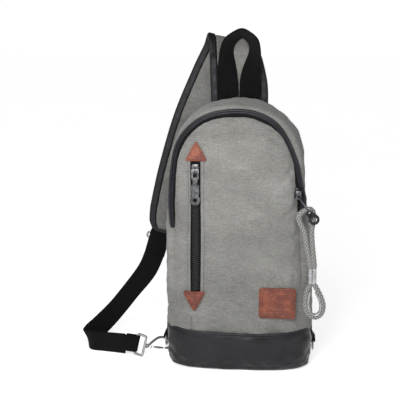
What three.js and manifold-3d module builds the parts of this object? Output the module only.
// Sling bag: a tall, rounded canvas body on a coated base, with a padded shoulder strap,
// a webbing handle, an arched main zip with a rope pull, and a zipped front pocket.
// Millimetres, +Z up. The origin is the middle of the underside; the front faces -Y.

import * as THREE from "three";
import { mergeVertices } from "three/addons/utils/BufferGeometryUtils.js";
import Module from "manifold-3d";

const wasm = await Module();
wasm.setup();

// ---------------------------------------------------------------- driving dimensions

const BODY = { halfWidth: 85.5, halfDepth: 43, top: 314, shoulderZ: 236, shoulderHalfWidth: 76.5 };
// The soft body leans: its middle moves from one X to the other between two heights.
const LEAN = { low: 1, high: -2.5, fromZ: 60, toZ: 250 };
const ARCH_POWER = 2.25;
const TAPER_START_Z = 100;
const PLAN_POWER = { front: 3.2, back: 4.2 };
const BASE = { top: 45, wall: 2, floor: 2.2 };
const PIPING = { height: 2.2, stand: 1.2 };
const PANEL_Z = BASE.top + PIPING.height + 0.6;
const FRONT = {
  bottomHalfWidth: 72, archHalfWidth: 66.2, archZ: 231.6, top: 299, bottomX: 0.4, archX: -2.8,
  y: -42.5, thickness: 1.6,
};
const BACK = { y: 42.5, thickness: 5, inset: 1.5 };
const GUSSET = { front: -34, back: 37, wall: 1.8, bulge: 1.6 };
const TRACK = { centreX: -2.5, centreZ: 230.6, radius: 71.5, restAngle: -13, y: -40, depth: 3.4 };
const POCKET = { x: -47.2, top: 247, bottom: 98.6, tape: 14, teeth: 5 };
const ROPE = { radius: 2.9, y: -47.5 };
const WEBBING = { width: 25, thickness: 1.6 };
const PAD = { thickness: 7, binding: 8 };
const GAP = 0.3;

const COLOURS = {
  canvas: 0x96958f,
  coated: 0x3a3a3d,
  piping: 0x3e3d44,
  webbing: 0x181818,
  steel: 0xb9bcc0,
  gunmetal: 0x4b4b4b,
  leather: 0xb25c42,
  rope: 0x8d8c88,
  lining: 0x55565a,
  foam: 0x2c2c2e,
  mesh: 0x222224,
};

const group = new THREE.Group();

function add(name, geometry, colour, roughness = 0.85, metalness = 0) {
  const material = new THREE.MeshStandardMaterial({ color: colour, roughness, metalness });
  const mesh = new THREE.Mesh(geometry, material);
  mesh.name = name;
  group.add(mesh);
}

function addMetal(name, geometry, colour = COLOURS.steel) {
  add(name, geometry, colour, 0.3, 1);
}

// ---------------------------------------------------------------- geometry helpers

const vec = (x, y, z) => new THREE.Vector3(x, y, z);
const power = (value, exponent) => Math.sign(value) * Math.abs(value) ** exponent;

// A closed mesh from triangles, turned so that its faces point out.
function closedGeometry(points, triangles) {
  let volume = 0;
  for (const [a, b, c] of triangles) {
    volume += points[a].dot(points[b].clone().cross(points[c]));
  }
  const index = triangles.flatMap(([a, b, c]) => (volume > 0 ? [a, b, c] : [a, c, b]));
  const geometry = new THREE.BufferGeometry();
  const position = new Float32Array(points.flatMap((p) => [p.x, p.y, p.z]));
  geometry.setAttribute("position", new THREE.BufferAttribute(position, 3));
  geometry.setIndex(index);
  geometry.computeVertexNormals();
  return geometry;
}

// Skin over rings of equally many points; a closed loft joins its last ring to its first.
function loft(rings, closed = false) {
  const count = rings[0].length;
  const points = rings.flat();
  const triangles = [];
  const spans = closed ? rings.length : rings.length - 1;
  for (let i = 0; i < spans; i += 1) {
    const here = i * count;
    const next = ((i + 1) % rings.length) * count;
    for (let j = 0; j < count; j += 1) {
      const k = (j + 1) % count;
      triangles.push([here + j, here + k, next + k], [here + j, next + k, next + j]);
    }
  }
  if (!closed) {
    capStrip(triangles, 0, count, true);
    capStrip(triangles, (rings.length - 1) * count, count, false);
  }
  return closedGeometry(points, triangles);
}

// A ring's end face, as a strip between its first half and its second half.
function capStrip(triangles, start, count, first) {
  for (let i = 0; i < count / 2 - 1; i += 1) {
    const quad = [i, i + 1, count - 2 - i, count - 1 - i].map((k) => start + k);
    const order = first ? [quad[0], quad[3], quad[2], quad[1]] : quad;
    triangles.push([order[0], order[1], order[2]], [order[0], order[2], order[3]]);
  }
}

// Frames along a smooth path: a point, the across direction and the face normal at each step.
function framesAlong(stations, steps) {
  const path = new THREE.CatmullRomCurve3(stations.map((s) => s.at));
  const across = new THREE.CatmullRomCurve3(stations.map((s) => s.across));
  const widths = new THREE.CatmullRomCurve3(stations.map((s) => vec(s.width ?? 0, 0, 0)));
  const frames = [];
  for (let i = 0; i <= steps; i += 1) {
    const t = i / steps;
    const tangent = path.getTangent(t);
    const face = tangent.clone().cross(across.getPoint(t)).normalize();
    const side = face.clone().cross(tangent).normalize();
    frames.push({ at: path.getPoint(t), side, face, width: widths.getPoint(t).x });
  }
  return frames;
}

// A flat strip along frames, between two distances across it, centred on the frames' surface.
function strip(frames, from, to, thickness) {
  const low = typeof from === "function" ? from : () => from;
  const high = typeof to === "function" ? to : () => to;
  const rings = frames.map((frame) => {
    const corner = (distance, lift) =>
      frame.at.clone().addScaledVector(frame.side, distance).addScaledVector(frame.face, lift);
    const half = thickness / 2;
    const a = low(frame);
    const b = high(frame);
    return [corner(a, -half), corner(b, -half), corner(b, half), corner(a, half)];
  });
  return loft(rings);
}

// Round wire along a closed flat loop of points; normal is the loop's plane.
function wireLoop(points, normal, radius, sides = 8) {
  const count = points.length;
  const rings = points.map((point, i) => {
    const before = points[(i + count - 1) % count];
    const after = points[(i + 1) % count];
    const out = after.clone().sub(before).cross(normal).normalize();
    return Array.from({ length: sides }, (_, k) => {
      const angle = (2 * Math.PI * k) / sides;
      return point
        .clone()
        .addScaledVector(out, radius * Math.cos(angle))
        .addScaledVector(normal, radius * Math.sin(angle));
    });
  });
  return loft(rings, true);
}

// A rectangular wire ring in the plane of two unit directions.
function rectangleRing(centre, side, up, halfSide, halfUp, wire, corner = 3, sides = 8) {
  const points = [];
  const turns = 3;
  for (let quarter = 0; quarter < 4; quarter += 1) {
    const sx = quarter === 0 || quarter === 3 ? 1 : -1;
    const sy = quarter < 2 ? 1 : -1;
    for (let i = 0; i <= turns; i += 1) {
      const angle = (quarter + i / turns) * (Math.PI / 2);
      points.push(centre
        .clone()
        .addScaledVector(side, sx * (halfSide - corner) + corner * Math.cos(angle))
        .addScaledVector(up, sy * (halfUp - corner) + corner * Math.sin(angle)));
    }
  }
  return wireLoop(points, side.clone().cross(up).normalize(), wire, sides);
}

// Round cord or rod along an open path.
function tube(points, radius, sides, steps) {
  const section = new THREE.Shape();
  for (let k = 0; k < sides; k += 1) {
    const angle = (2 * Math.PI * k) / sides;
    const method = k === 0 ? "moveTo" : "lineTo";
    section[method](radius * Math.cos(angle), radius * Math.sin(angle));
  }
  section.closePath();
  const path = new THREE.CatmullRomCurve3(points);
  return new THREE.ExtrudeGeometry(section, { steps, extrudePath: path, bevelEnabled: false });
}

// A plate whose outline is drawn in X and Z; its front face is at yFront.
function plate(shape, yFront, thickness, curveSegments = 8) {
  const geometry = new THREE.ExtrudeGeometry(shape, {
    depth: thickness,
    bevelEnabled: false,
    curveSegments,
  });
  geometry.rotateX(Math.PI / 2);
  geometry.translate(0, yFront + thickness, 0);
  return geometry;
}

function polygon(points) {
  return new THREE.Shape(points.map(([x, z]) => new THREE.Vector2(x, z)));
}

function roundedRectangle(x0, z0, x1, z1, radius) {
  const shape = new THREE.Shape();
  shape.moveTo(x0 + radius, z0);
  shape.lineTo(x1 - radius, z0);
  shape.absarc(x1 - radius, z0 + radius, radius, -Math.PI / 2, 0, false);
  shape.absarc(x1 - radius, z1 - radius, radius, 0, Math.PI / 2, false);
  shape.absarc(x0 + radius, z1 - radius, radius, Math.PI / 2, Math.PI, false);
  shape.absarc(x0 + radius, z0 + radius, radius, Math.PI, 1.5 * Math.PI, false);
  return shape;
}

function toSolid(geometry) {
  const bare = geometry.clone();
  bare.deleteAttribute("normal");
  bare.deleteAttribute("uv");
  const merged = mergeVertices(bare, 1e-3);
  const vertProperties = merged.attributes.position.array;
  const triVerts = new Uint32Array(merged.index.array);
  return new wasm.Manifold(new wasm.Mesh({ numProp: 3, vertProperties, triVerts }));
}

// Two closed shapes as one.
function join(first, second) {
  const mesh = toSolid(first).add(toSolid(second)).getMesh();
  const geometry = new THREE.BufferGeometry();
  geometry.setAttribute("position", new THREE.BufferAttribute(mesh.vertProperties, mesh.numProp));
  geometry.setIndex(new THREE.BufferAttribute(mesh.triVerts, 1));
  geometry.computeVertexNormals();
  return geometry;
}

// ---------------------------------------------------------------- body outline

const smoothStep = (value) => {
  const t = Math.min(1, Math.max(0, value));
  return t * t * (3 - 2 * t);
};

// The X of the body's middle at a height.
function bodyCentre(z) {
  return LEAN.low + (LEAN.high - LEAN.low) * smoothStep((z - LEAN.fromZ) / (LEAN.toZ - LEAN.fromZ));
}

// Half the body's width at a height, below the arch.
function sideHalfWidth(z) {
  const rise = Math.max(0, z - TAPER_START_Z) / (BODY.shoulderZ - TAPER_START_Z);
  return BODY.halfWidth - (BODY.halfWidth - BODY.shoulderHalfWidth) * rise;
}

// The side outline in X and Z, from a height on the right, over the arch, to one on the left.
function bodyOutline(rightZ, leftZ, inset, archSteps = 22, sideSteps = 5) {
  const points = [];
  for (let i = 0; i < sideSteps; i += 1) {
    const z = rightZ + ((BODY.shoulderZ - rightZ) * i) / sideSteps;
    points.push([bodyCentre(z) + sideHalfWidth(z) - inset, z]);
  }
  for (let i = 0; i <= archSteps; i += 1) {
    const angle = (Math.PI * i) / archSteps;
    const x = (BODY.shoulderHalfWidth - inset) * power(Math.cos(angle), 2 / ARCH_POWER);
    const rise = BODY.top - BODY.shoulderZ - inset;
    const z = BODY.shoulderZ + rise * power(Math.sin(angle), 2 / ARCH_POWER);
    points.push([bodyCentre(z) + x, z]);
  }
  for (let i = sideSteps - 1; i >= 0; i -= 1) {
    const z = leftZ + ((BODY.shoulderZ - leftZ) * i) / sideSteps;
    points.push([bodyCentre(z) - (sideHalfWidth(z) - inset), z]);
  }
  return points;
}

// One level ring of the body's plan, drawn in by an inset.
function planRing(z, inset, sides = 48) {
  return Array.from({ length: sides }, (_, i) => {
    const angle = (2 * Math.PI * i) / sides;
    const exponent = 2 / (Math.sin(angle) < 0 ? PLAN_POWER.front : PLAN_POWER.back);
    const x = (BODY.halfWidth - inset) * power(Math.cos(angle), exponent);
    const y = (BODY.halfDepth - inset) * power(Math.sin(angle), exponent);
    return vec(LEAN.low + x, y, z);
  });
}

// ---------------------------------------------------------------- base

const BASE_OUTSIDE = [[22, 0], [12, 1.6], [6, 6], [2, 14], [0.4, 26], [0, BASE.top]];

function baseWrap() {
  const outside = BASE_OUTSIDE.map(([inset, z]) => planRing(z, inset));
  const inside = [...BASE_OUTSIDE]
    .reverse()
    .map(([inset, z]) => planRing(z === BASE.top ? z : z + BASE.floor, inset + BASE.wall));
  return loft([...outside, ...inside]);
}

function baseBoard() {
  const z = BASE.floor + GAP;
  return loft([planRing(z + 1.6, 24), planRing(z + 3.4, 24)]);
}

function basePiping() {
  const z0 = BASE.top + GAP;
  const z1 = z0 + PIPING.height;
  const out = -PIPING.stand;
  const section = [[out, z0], [out, z1], [BASE.wall, z1], [BASE.wall, z0]];
  return loft(section.map(([inset, z]) => planRing(z, inset)), true);
}

add("base_wrap", baseWrap(), COLOURS.coated, 0.6);
add("base_board", baseBoard(), COLOURS.lining);
add("base_piping", basePiping(), COLOURS.piping, 0.5);

// ---------------------------------------------------------------- panels

// Depth of the front panel: flat across the middle, turning back at its edges and its top.
function frontY(x, z) {
  const edge = 4.8 * Math.abs((x - frontCentre(z)) / FRONT.bottomHalfWidth) ** 8;
  const lean = 7 * (Math.max(0, z - 252) / 44) ** 2;
  return FRONT.y + edge + lean;
}

const frontRise = (z) => Math.min(1, z / FRONT.archZ) ** 1.5;

function frontCentre(z) {
  return FRONT.bottomX + (FRONT.archX - FRONT.bottomX) * frontRise(z);
}

function frontHalfWidth(z) {
  return FRONT.bottomHalfWidth + (FRONT.archHalfWidth - FRONT.bottomHalfWidth) * frontRise(z);
}

function frontPanel() {
  const rows = [];
  const sideRows = 6;
  const archRows = 9;
  for (let i = 0; i < sideRows; i += 1) {
    const z = PANEL_Z + ((FRONT.archZ - PANEL_Z) * i) / sideRows;
    rows.push([frontHalfWidth(z), z]);
  }
  for (let i = 0; i <= archRows; i += 1) {
    const angle = (THREE.MathUtils.degToRad(86) * i) / archRows;
    const rise = FRONT.top - FRONT.archZ;
    rows.push([FRONT.archHalfWidth * Math.cos(angle), FRONT.archZ + rise * Math.sin(angle)]);
  }
  const columns = 12;
  const rings = rows.map(([half, z]) => {
    const at = (j, lift) => {
      const x = frontCentre(z) + half * ((2 * j) / columns - 1);
      return vec(x, frontY(x, z) + lift, z);
    };
    const face = Array.from({ length: columns + 1 }, (_, j) => at(j, 0));
    const rear = Array.from({ length: columns + 1 }, (_, j) => at(columns - j, FRONT.thickness));
    return [...face, ...rear];
  });
  return loft(rings);
}

// How far the base's rounded front corner draws in at a depth.
function frontCornerInset(y) {
  const depth = Math.max(0, -y) / BODY.halfDepth;
  return BODY.halfWidth * (1 - (1 - depth ** PLAN_POWER.front) ** (1 / PLAN_POWER.front));
}

// The band that runs up one side, over the top and down the other, open front and back.
// Its front edge is drawn in over the base and comes out to the zip higher up.
function gusset() {
  const depths = [0, 0.09, 0.2, 0.4, 0.7, 1];
  const rings = bodyOutline(PANEL_Z, PANEL_Z, 0).map(([x, z], i, outline) => {
    const before = outline[Math.max(0, i - 1)];
    const after = outline[Math.min(outline.length - 1, i + 1)];
    const along = new THREE.Vector2(after[0] - before[0], after[1] - before[1]).normalize();
    const at = (depth, drop) => {
      const y = GUSSET.front + (GUSSET.back - GUSSET.front) * depth;
      const bulge = GUSSET.bulge * (4 * depth * (1 - depth) - 1);
      const out = bulge - frontCornerInset(y) * (1 - smoothStep((z - 60) / 90)) - drop;
      return vec(x + along.y * out, y, z - along.x * out);
    };
    const outside = depths.map((d) => at(d, 0));
    const inside = [...depths].reverse().map((d) => at(d, GUSSET.wall));
    return [...outside, ...inside];
  });
  return loft(rings);
}

function outlinePlate(inset, yFront, thickness, bottomZ) {
  return plate(polygon(bodyOutline(bottomZ, bottomZ, inset)), yFront, thickness);
}

add("front_panel", frontPanel(), COLOURS.canvas);
add("gusset", gusset(), COLOURS.canvas);
add("back_panel", outlinePlate(BACK.inset, BACK.y - BACK.thickness + GAP, BACK.thickness - GAP, PANEL_Z),
  COLOURS.mesh);
add("back_foam", outlinePlate(8, 31.5, 5.6, 52), COLOURS.foam);
add("inner_sleeve", plate(roundedRectangle(-62, 54, 62, 200, 8), 24, 2), COLOURS.lining);
add("pocket_pouch", plate(roundedRectangle(-58, 66, 30, 240, 8), -38.6, 2.4), COLOURS.lining);

// ---------------------------------------------------------------- main zip

// A band between two paths of [x, z] points, with its front face at a depth.
function flatBand(outer, inner, yFront, thickness) {
  return loft(outer.map(([x, z], i) => {
    const [innerX, innerZ] = inner[i];
    return [
      vec(x, yFront, z),
      vec(innerX, yFront, innerZ),
      vec(innerX, yFront + thickness, innerZ),
      vec(x, yFront + thickness, z),
    ];
  }));
}

// The facing behind the zip: close to the outline round the arch, further in over the base.
function zipFacing() {
  const edge = (archInset, baseInset) => {
    const arch = bodyOutline(PANEL_Z, PANEL_Z, archInset);
    const base = bodyOutline(PANEL_Z, PANEL_Z, baseInset);
    return arch.map(([x, z], i) => {
      const rise = smoothStep((z - 60) / 90);
      return [x * rise + base[i][0] * (1 - rise), z * rise + base[i][1] * (1 - rise)];
    });
  };
  return flatBand(edge(2.6, 11), edge(9, 16), -35.8, 1.2);
}

// The rolled flap outside the teeth: round the arch on the track's circle, then down the sides.
function zipFlap() {
  const { inner, outer } = FLAP;
  const steps = 30;
  const circle = (out) =>
    Array.from({ length: steps + 1 }, (_, i) => {
      const point = trackPoint((180 * i) / steps, 0, out);
      return [point.x, point.z];
    });
  const side = (rows, shift) => rows.map(([x, z]) => [x + shift, z]);
  const width = outer - inner;
  const outerPath = [...side(FLAP.right, width / 2), ...circle(outer), ...side(FLAP.left, -width / 2)];
  const innerPath = [...side(FLAP.right, -width / 2), ...circle(inner), ...side(FLAP.left, width / 2)];
  return flatBand(outerPath, innerPath, TRACK.y, 3.6);
}

// The slider's circular track: a point at an angle above level on the right.
function trackPoint(degrees, y, out = 0) {
  const angle = THREE.MathUtils.degToRad(degrees);
  const radius = TRACK.radius + out;
  return vec(TRACK.centreX + radius * Math.cos(angle), y, TRACK.centreZ + radius * Math.sin(angle));
}

function mainChain() {
  const steps = 36;
  const from = TRACK.restAngle - 1;
  const to = 180 - from;
  const rings = Array.from({ length: steps + 1 }, (_, i) => {
    const angle = from + ((to - from) * i) / steps;
    return [
      trackPoint(angle, TRACK.y, 2.4),
      trackPoint(angle, TRACK.y, -2.4),
      trackPoint(angle, TRACK.y + TRACK.depth, -2.4),
      trackPoint(angle, TRACK.y + TRACK.depth, 2.4),
    ];
  });
  return loft(rings);
}

// The flap's inner and outer distance from the teeth, and its middle line below the arch.
const FLAP = {
  inner: 2.7,
  outer: 4.7,
  right: [[75.6, 198], [74.6, 206], [73.2, 218]],
  left: [[-78.2, 218], [-78.4, 205], [-77.6, 190], [-76.2, 175]],
};

add("zip_facing", zipFacing(), COLOURS.canvas);
add("main_zip_chain", mainChain(), COLOURS.webbing, 0.4);
add("zip_flap", zipFlap(), COLOURS.piping, 0.5);

// A slider body with an eye lug in front for its pull; drawn upright at the origin of X and Z.
function sliderBody(halfWidth, halfLength, depth) {
  const shape = polygon([
    [-halfWidth * 0.75, halfLength],
    [halfWidth * 0.75, halfLength],
    [halfWidth, halfLength * 0.45],
    [halfWidth * 0.75, -halfLength],
    [-halfWidth * 0.75, -halfLength],
    [-halfWidth, halfLength * 0.45],
  ]);
  return plate(shape, -depth, depth);
}

const SLIDER_DEPTH = 3.6;
const SLIDER_REST = trackPoint(TRACK.restAngle, 0);
const mainSlider = sliderBody(4.6, 6, SLIDER_DEPTH);
mainSlider.rotateY(THREE.MathUtils.degToRad(-TRACK.restAngle));
mainSlider.translate(SLIDER_REST.x, TRACK.y - GAP, SLIDER_REST.z);
addMetal("main_zip_slider", mainSlider, COLOURS.gunmetal);

// A lug in front of the slider, with an eye that the pull's link hangs in.
const LINK = { length: 20.5, halfDepth: 4.7, middleY: -49.6, wire: 0.8, corner: 1.4 };
const LINK_DIRECTION = vec(0.58, 0, -0.815);
const MAIN_BAIL = { x: SLIDER_REST.x + 0.8, z: SLIDER_REST.z - 3.4, depth: 3 };

function sliderLug() {
  const front = TRACK.y - GAP - SLIDER_DEPTH - GAP - MAIN_BAIL.depth;
  const foot = plate(polygon([[-2.7, 6.6], [-2.7, 2.4], [2.7, 2.4], [2.7, 6.6]]), front, MAIN_BAIL.depth);
  const shape = polygon([[-2.7, 6.6], [-2.7, -2.4], [2.7, -2.4], [2.7, 6.6]]);
  const hole = new THREE.Path();
  hole.absarc(0, 0, LINK.wire + 0.6, 0, 2 * Math.PI, true);
  shape.holes.push(hole);
  const eye = plate(shape, front - 2, 2.2, 4);
  const geometry = join(foot, eye);
  geometry.translate(MAIN_BAIL.x, 0, MAIN_BAIL.z);
  return geometry;
}

// The pull's wire link lies edge-on to the front: its plane holds Y and the link's direction.
function mainLink() {
  const start = vec(MAIN_BAIL.x, LINK.middleY, MAIN_BAIL.z);
  const middle = start.addScaledVector(LINK_DIRECTION, LINK.length / 2);
  const depth = vec(0, 1, 0);
  return rectangleRing(
    middle, LINK_DIRECTION, depth, LINK.length / 2, LINK.halfDepth, LINK.wire, LINK.corner, 6);
}

addMetal("main_pull_lug", sliderLug(), COLOURS.gunmetal);
addMetal("main_pull_link", mainLink(), COLOURS.gunmetal);

// The pull's tab: a lug round the link, a ridged waist and a round end with a hole.
function pullTab(lugHole, waist, waistLength, endRadius, endHole, thickness) {
  const shape = new THREE.Shape();
  const endZ = -(waistLength + endRadius * 0.8);
  const join = Math.asin(Math.min(0.95, (waist / 2) / endRadius));
  shape.moveTo(waist / 2, 1.9);
  shape.lineTo(-waist / 2, 1.9);
  shape.lineTo(-waist / 2, endZ + endRadius * Math.cos(join));
  const startAngle = Math.PI / 2 + join;
  const sweep = 2 * Math.PI - 2 * join;
  const steps = 16;
  for (let i = 1; i <= steps; i += 1) {
    const angle = startAngle + (sweep * i) / steps;
    shape.lineTo(endRadius * Math.cos(angle), endZ + endRadius * Math.sin(angle));
  }
  shape.closePath();
  for (const [z, radius] of [[0, lugHole], [endZ, endHole]]) {
    const hole = new THREE.Path();
    hole.absarc(0, z, radius, 0, 2 * Math.PI, true);
    shape.holes.push(hole);
  }
  return plate(shape, -thickness / 2, thickness, 6);
}

const mainTab = pullTab(LINK.wire + 0.5, 8, 4.5, 6.2, 3.3, 2);
const linkEnd = vec(MAIN_BAIL.x, -51.6, MAIN_BAIL.z).addScaledVector(LINK_DIRECTION, LINK.length);
mainTab.rotateY(-Math.atan2(LINK_DIRECTION.x, -LINK_DIRECTION.z));
mainTab.translate(linkEnd.x, linkEnd.y, linkEnd.z);
addMetal("main_pull_tab", mainTab, COLOURS.gunmetal);

// ---------------------------------------------------------------- rope pull

// One endless-looking cord: up from the ferrule, through the link, and down again.
const ROPE_UPPER = [
  [81.4, -47.5, 129.8],
  [79.2, -47.5, 141],
  [76.6, -47.8, 158],
  [74.2, -48.4, 173],
  [70.6, -49, 181.6],
  [68.4, -49.6, 188.6],
  [69.0, -49.6, 193.6],
  [72.2, -49.6, 196.9],
  [76.2, -49.3, 199.2],
  [80.6, -48.2, 200.0],
  [84.2, -47.0, 196.8],
  [85.8, -46.6, 191],
  [84.6, -46.3, 183],
  [82.4, -46.4, 172],
  [83.6, -46.9, 158],
  [86.0, -47.5, 141],
  [87.8, -47.5, 129.8],
];
// The same cord below the ferrule, round the thimble.
const ROPE_LOWER = [
  [81.6, -47.5, 111],
  [79.9, -47.5, 104],
  [78.6, -47.5, 95],
  [78.6, -47.5, 84],
  [82.5, -47.5, 75],
  [89.6, -47.5, 71.9],
  [96.0, -47.5, 76],
  [98.2, -47.5, 85],
  [95.8, -47.5, 95],
  [92.2, -47.5, 104],
  [89.6, -47.5, 111],
];
const toVectors = (rows) => rows.map(([x, y, z]) => vec(x, y, z));

add("pull_cord", tube(toVectors(ROPE_UPPER), ROPE.radius, 8, 44), COLOURS.rope);
add("thimble_cord", tube(toVectors(ROPE_LOWER), ROPE.radius, 8, 30), COLOURS.rope);

function ferrule() {
  const ringAt = (x, z) =>
    Array.from({ length: 16 }, (_, k) => {
      const angle = (2 * Math.PI * k) / 16;
      return vec(x + 6.6 * power(Math.cos(angle), 0.8), ROPE.y + 3.9 * Math.sin(angle), z);
    });
  return loft([ringAt(85.4, 112), ringAt(84.6, 129)]);
}

// The thimble: a teardrop band of metal that lines the loop of cord.
function thimble() {
  const inset = ROPE.radius + GAP;
  const path = new THREE.CatmullRomCurve3(toVectors(ROPE_LOWER));
  const middle = vec(88.2, ROPE.y, 90);
  const steps = 26;
  const first = 0.17;
  const rings = Array.from({ length: steps + 1 }, (_, i) => {
    const t = first + ((1 - 2 * first) * i) / steps;
    const tangent = path.getTangent(t);
    const inward = tangent.clone().cross(vec(0, 1, 0)).normalize();
    const centre = path.getPoint(t);
    if (inward.dot(middle.clone().sub(centre)) < 0) inward.negate();
    const at = (depth, across) =>
      centre.clone().addScaledVector(inward, inset + depth).add(vec(0, across, 0));
    return [at(0, -2.4), at(0, 2.4), at(1.3, 2.4), at(1.3, -2.4)];
  });
  return loft(rings);
}

addMetal("cord_ferrule", ferrule());
addMetal("cord_thimble", thimble());

// ---------------------------------------------------------------- front pocket zip

const pocketTape = roundedRectangle(
  POCKET.x - POCKET.tape / 2, POCKET.bottom - 3, POCKET.x + POCKET.tape / 2, POCKET.top + 3, 2);
add("pocket_zip_tape", plate(pocketTape, FRONT.y - 0.9, 0.6), COLOURS.webbing);
const pocketTeeth = roundedRectangle(
  POCKET.x - POCKET.teeth / 2, POCKET.bottom + 1, POCKET.x + POCKET.teeth / 2, POCKET.top - 1, 1);
add("pocket_zip_chain", plate(pocketTeeth, FRONT.y - 2.4, 1.2), COLOURS.webbing, 0.4);

const POCKET_SLIDER = { y: FRONT.y - 2.7, z: 240.6 };
const pocketSlider = sliderBody(4.4, 5.6, 3);
pocketSlider.translate(POCKET.x, POCKET_SLIDER.y, POCKET_SLIDER.z);
addMetal("pocket_zip_slider", pocketSlider);

// The pocket's pull hangs flat on the panel from a round bar across the slider.
const POCKET_PULL = { y: POCKET_SLIDER.y - 5.2, z: 238.6, length: 33 };
const POCKET_BAIL = { wire: 0.6, reach: 7.9, low: 236, high: 243 };

function pocketPull() {
  const outline = [
    [4.2, 2.6], [-4.2, 2.6], [-4.2, -8.5], [-2.4, -10.5], [-2.4, -14.5], [-4.6, -16.5],
    [-4.6, -26.5], [-2.8, -28.5],
  ];
  const shape = polygon(outline);
  const ringZ = -POCKET_PULL.length;
  const ringRadius = 5.8;
  const steps = 14;
  for (let i = 0; i <= steps; i += 1) {
    const angle = THREE.MathUtils.degToRad(125 + (290 * i) / steps);
    shape.lineTo(ringRadius * Math.cos(angle), ringZ + ringRadius * Math.sin(angle));
  }
  for (const [x, z] of outline.slice(2).reverse()) shape.lineTo(-x, z);
  shape.closePath();
  const link = new THREE.Path();
  link.moveTo(-2.2, -1);
  link.lineTo(-2.2, -7);
  link.lineTo(2.2, -7);
  link.lineTo(2.2, -1);
  link.closePath();
  const end = new THREE.Path();
  end.absarc(0, ringZ, 2.6, 0, 2 * Math.PI, true);
  shape.holes.push(link, end);
  const geometry = plate(shape, -0.9, 1.8, 6);
  geometry.translate(POCKET.x, POCKET_PULL.y, POCKET_PULL.z);
  return geometry;
}

// A staple on the slider, round the pull's top bar.
function pocketBail() {
  const foot = POCKET_SLIDER.y - 3 - GAP;
  const front = POCKET_SLIDER.y - POCKET_BAIL.reach;
  const turn = 0.8;
  const { low, high } = POCKET_BAIL;
  return tube([
    vec(POCKET.x, foot, low),
    vec(POCKET.x, front + turn, low),
    vec(POCKET.x, front, low + turn),
    vec(POCKET.x, front, (low + high) / 2),
    vec(POCKET.x, front, high - turn),
    vec(POCKET.x, front + turn, high),
    vec(POCKET.x, foot, high),
  ], POCKET_BAIL.wire, 8, 16);
}

addMetal("pocket_pull", pocketPull());
addMetal("pocket_pull_bail", pocketBail());

// ---------------------------------------------------------------- leather trims

const LEATHER = { y: FRONT.y - 2.1, thickness: 1.4 };

function leatherTriangle(apexX, apexZ, baseX, baseZ, half) {
  const shape = polygon([[apexX, apexZ], [baseX - half, baseZ], [baseX + half, baseZ]]);
  return plate(shape, LEATHER.y - 0.6, LEATHER.thickness);
}

add("leather_triangle_top", leatherTriangle(-47, 270, POCKET.x, 250.8, 10.8), COLOURS.leather, 0.7);
add("leather_triangle_bottom", leatherTriangle(-48.6, 74.6, POCKET.x - 1, 95, 11.6), COLOURS.leather, 0.7);
add("leather_patch", plate(roundedRectangle(25.3, 67.5, 67.3, 103.6, 3.5), LEATHER.y, LEATHER.thickness),
  COLOURS.leather, 0.7);

// ---------------------------------------------------------------- carry handle

const HANDLE = { y: 40, baseZ: 313.6, top: 386.4, thickness: 2.2 };
// Half of the handle, from its left leg to the top. It turns edge-on to the front as it rises.
const handleLeg = [
  { at: [-13.9, HANDLE.y + 5.4, HANDLE.baseZ], across: [-1, 0, 0] },
  { at: [-14.1, HANDLE.y + 4.6, 324], across: [-1, 0, 0] },
  { at: [-14.8, HANDLE.y + 1.6, 338], across: [-0.93, -0.32, 0.14] },
  { at: [-15.3, HANDLE.y - 0.4, 352], across: [-0.8, -0.54, 0.26] },
  { at: [-15, HANDLE.y - 1.6, 366], across: [-0.6, -0.7, 0.38] },
  { at: [-12.4, HANDLE.y - 2, 376.2], across: [-0.34, -0.8, 0.48] },
  { at: [-6.6, HANDLE.y - 2, 382.8], across: [-0.12, -0.85, 0.52] },
];
const mirrored = (station) => ({
  at: [-station.at[0], station.at[1], station.at[2]],
  across: [-station.across[0], station.across[1], station.across[2]],
});
const handleStations = [
  ...handleLeg,
  { at: [0, HANDLE.y - 2, HANDLE.top], across: [0, -0.85, 0.53] },
  ...[...handleLeg].reverse().map(mirrored),
].map(({ at, across }) => ({ at: vec(...at), across: vec(...across) }));
add("carry_handle", strip(framesAlong(handleStations, 44), -12.4, 12.4, HANDLE.thickness),
  COLOURS.webbing);
// The handle's ends, sewn flat on the back below the point where it starts to bend.
add("handle_anchor",
  plate(roundedRectangle(-27.4, 296, 27.4, HANDLE.baseZ - 1.5, 2), HANDLE.y + 4.2, HANDLE.thickness),
  COLOURS.webbing);

// ---------------------------------------------------------------- shoulder strap

// The pad rises from the top seam behind the handle, folds back and hangs down to the left.
const padStations = [
  { at: vec(-3, 51.4, 300), across: vec(1, 0, 0), width: 68 },
  { at: vec(-4, 51.8, 320), across: vec(1, 0, 0), width: 66 },
  { at: vec(-10, 52.4, 350), across: vec(0.99, 0, -0.08), width: 57 },
  { at: vec(-14.6, 54, 369), across: vec(0.99, 0, -0.14), width: 52 },
  { at: vec(-17.4, 60, 377.5), across: vec(0.98, 0, -0.18), width: 50 },
  { at: vec(-20, 68.5, 376), across: vec(0.97, 0, -0.24), width: 49 },
  { at: vec(-24, 74, 364), across: vec(0.95, 0, -0.3), width: 49 },
  { at: vec(-35.5, 75, 336), across: vec(0.94, 0, -0.34), width: 49 },
  { at: vec(-56, 74, 285), across: vec(0.945, 0, -0.33), width: 47 },
  { at: vec(-80, 70, 216), across: vec(0.95, 0, -0.3), width: 45 },
  { at: vec(-93, 66, 168), across: vec(0.955, 0, -0.28), width: 43 },
  { at: vec(-97.6, 64.4, 151), across: vec(0.955, 0, -0.28), width: 38 },
  { at: vec(-100, 63.6, 142), across: vec(0.955, 0, -0.28), width: 27 },
];
const padFrames = framesAlong(padStations, 52);
const padEdge = (frame) => frame.width / 2;
add("strap_pad",
  strip(padFrames, (f) => -padEdge(f) + PAD.binding, (f) => padEdge(f) - PAD.binding, PAD.thickness),
  COLOURS.canvas);
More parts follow.
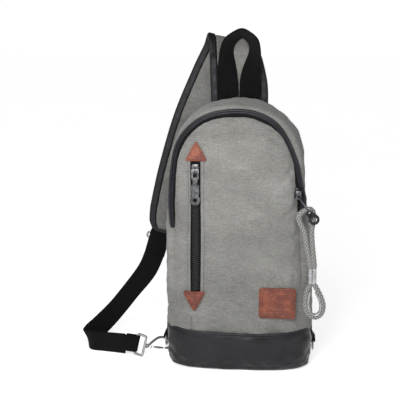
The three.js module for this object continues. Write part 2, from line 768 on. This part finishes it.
add("pad_binding_left",
  strip(padFrames, (f) => -padEdge(f), (f) => -padEdge(f) + PAD.binding - GAP, PAD.thickness - 1),
  COLOURS.coated, 0.6);
add("pad_binding_right",
  strip(padFrames, (f) => padEdge(f) - PAD.binding + GAP, padEdge, PAD.thickness - 1),
  COLOURS.coated, 0.6);

// Webbing folded round a bar: two layers that meet the bar at one end.
function foldedTab(bar, width, away, face, length, radius, along = null) {
  const layer = radius + WEBBING.thickness / 2;
  const section = [];
  const point = (along, lift) =>
    bar.clone().addScaledVector(away, along).addScaledVector(face, lift);
  const turns = 6;
  const outer = layer + WEBBING.thickness / 2;
  const inner = layer - WEBBING.thickness / 2;
  section.push(point(length, outer));
  for (let i = 0; i <= turns; i += 1) {
    const angle = Math.PI / 2 + (Math.PI * i) / turns;
    section.push(point(outer * Math.cos(angle), outer * Math.sin(angle)));
  }
  section.push(point(length, -outer));
  section.push(point(length, -inner));
  for (let i = turns; i >= 0; i -= 1) {
    const angle = Math.PI / 2 + (Math.PI * i) / turns;
    section.push(point(inner * Math.cos(angle), inner * Math.sin(angle)));
  }
  section.push(point(length, inner));
  const side = along ?? face.clone().cross(away).normalize();
  const shift = (sign) => section.map((p) => p.clone().addScaledVector(side, (sign * width) / 2));
  return loft([shift(-1), shift(1)]);
}

const RING_WIRE = 1.5;
const padDown = vec(-0.28, -0.02, -0.96).normalize();
const padSide = vec(0.96, 0, -0.28).normalize();
const padFace = padSide.clone().cross(padDown).normalize();
const padEnd = padStations[padStations.length - 1].at;
const PAD_RING = { drop: 9.3, halfLength: 3.8 };
const padRingCentre = padEnd.clone().addScaledVector(padDown, PAD_RING.drop);
const padRingTop = padRingCentre.clone().addScaledVector(padDown, -PAD_RING.halfLength);
const padRingLow = padRingCentre.clone().addScaledVector(padDown, PAD_RING.halfLength);
add("pad_end_tab",
  foldedTab(padRingTop, WEBBING.width, padDown.clone().negate(), padFace, 5, RING_WIRE + 0.2),
  COLOURS.webbing);
addMetal("pad_ring", rectangleRing(padRingCentre, padSide, padDown, 15.6, PAD_RING.halfLength, RING_WIRE));
add("strap_end_loop",
  foldedTab(padRingLow, WEBBING.width, padDown, padFace, 18, RING_WIRE + 0.2), COLOURS.webbing);

// The webbing runs down to the left, turns on its edge where it meets the ground,
// and comes back to the hook.
const loopEnd = padRingLow.clone().addScaledVector(padDown, 19.4);
const webbingStations = [
  { at: loopEnd, across: vec(-0.95, 0, 0.3) },
  { at: vec(-117.6, 60.6, 92.5), across: vec(-0.9, 0.15, 0.38) },
  { at: vec(-138.6, 54, 65), across: vec(-0.62, 0.5, 0.6) },
  { at: vec(-157, 46, 42.5), across: vec(-0.5, 0.5, 0.7) },
  { at: vec(-173, 36, 26.6), across: vec(-0.45, 0.35, 0.82) },
  { at: vec(-184.6, 26, 17), across: vec(-0.38, 0.2, 0.92) },
  { at: vec(-187, 19, 14), across: vec(-0.33, 0.1, 0.94) },
  { at: vec(-182.4, 15, 13), across: vec(-0.3, 0.06, 0.95) },
  { at: vec(-168, 12, 12.9), across: vec(-0.16, 0.03, 0.98) },
  { at: vec(-154, 8.8, 13.2), across: vec(0.08, 0, 0.99) },
  { at: vec(-140.6, 4.9, 13.6), across: vec(0.2, 0, 0.98) },
];
add("strap_webbing",
  strip(framesAlong(webbingStations, 48), -WEBBING.width / 2, WEBBING.width / 2, WEBBING.thickness),
  COLOURS.webbing);

// ---------------------------------------------------------------- snap hook

const eyeUp = vec(0.22, 0, 0.975).normalize();
const strapBack = vec(-0.957, 0.29, 0).normalize();
const eyeSide = strapBack.clone().addScaledVector(eyeUp, -strapBack.dot(eyeUp)).normalize();
const EYE = { centre: vec(-118.6, -1.6, 14.8), halfLength: 5.6, halfHeight: 14.2 };
const eyeBar = EYE.centre.clone().addScaledVector(eyeSide, EYE.halfLength);
const strapFace = strapBack.clone().cross(eyeUp).normalize();
addMetal("hook_eye",
  rectangleRing(EYE.centre, eyeSide, eyeUp, EYE.halfLength, EYE.halfHeight - RING_WIRE, RING_WIRE, 1.5));
add("strap_hook_loop",
  foldedTab(eyeBar, WEBBING.width - 3.8, strapBack, strapFace, 16, RING_WIRE + GAP, eyeUp), COLOURS.webbing);

// The hook's own frame: along is from the swivel to the bow, across is from the spine to the gate.
const HOOK_ALONG = vec(0.7, 0.77, -0.1).normalize();
const HOOK_ACROSS = vec(0.6, -0.5, -0.6);
HOOK_ACROSS.addScaledVector(HOOK_ALONG, -HOOK_ACROSS.dot(HOOK_ALONG)).normalize();
const HOOK_NORMAL = HOOK_ALONG.clone().cross(HOOK_ACROSS).normalize();
const eyeFront = EYE.centre.clone().addScaledVector(eyeSide, -EYE.halfLength);
const HOOK_START = eyeFront.clone().addScaledVector(HOOK_ALONG, RING_WIRE + 0.5);
const hookPoint = (along, across) =>
  HOOK_START.clone().addScaledVector(HOOK_ALONG, along).addScaledVector(HOOK_ACROSS, across);
const HOOK_WIRE = 1.5;

addMetal("hook_swivel", tube([hookPoint(0, 0), hookPoint(2, 0), hookPoint(4, 0)], 3, 10, 2));
addMetal("hook_body", tube([
  hookPoint(4.9, 0),
  hookPoint(8, -1.8),
  hookPoint(14, -4.4),
  hookPoint(22, -7.4),
  hookPoint(29, -8.6),
  hookPoint(35.4, -6.4),
  hookPoint(38, 0),
  hookPoint(35.4, 6.4),
  hookPoint(30, 8.4),
  hookPoint(25.6, 7.6),
], HOOK_WIRE, 8, 30));
const GATE_PIVOT = hookPoint(9.4, 3.1);
addMetal("hook_gate", tube([
  GATE_PIVOT.clone(),
  hookPoint(16, 5),
  hookPoint(25, 7.45),
], HOOK_WIRE - 0.2, 8, 6));
addMetal("gate_pin", tube([
  hookPoint(7.2, 2.6).addScaledVector(HOOK_NORMAL, -2.4),
  hookPoint(7.2, 2.6),
  hookPoint(7.2, 2.6).addScaledVector(HOOK_NORMAL, 2.4),
], 0.8, 8, 2));

// ---------------------------------------------------------------- anchors at the sides

const ANCHOR = { x: { left: -89.6, right: 90 }, y: 28, barZ: 20, radius: 12 };

// A D-ring hanging from a bar that lies along Y.
function anchorRing(x) {
  const points = [];
  const corner = 2;
  const arcSteps = 14;
  for (let i = 0; i <= arcSteps; i += 1) {
    const angle = Math.PI + (Math.PI * i) / arcSteps;
    points.push(vec(x, ANCHOR.y + ANCHOR.radius * Math.cos(angle),
      ANCHOR.barZ - corner + ANCHOR.radius * Math.sin(angle)));
  }
  points.push(vec(x, ANCHOR.y + ANCHOR.radius - corner, ANCHOR.barZ));
  points.push(vec(x, ANCHOR.y - ANCHOR.radius + corner, ANCHOR.barZ));
  return wireLoop(points, vec(1, 0, 0), 1.3);
}

for (const [side, x] of Object.entries(ANCHOR.x)) {
  add(`anchor_tab_${side}`,
    foldedTab(vec(x, ANCHOR.y, ANCHOR.barZ), 18, vec(0, 0, 1), vec(1, 0, 0), 20, 1.6),
    COLOURS.webbing);
  addMetal(`anchor_ring_${side}`, anchorRing(x));
}

export default group;
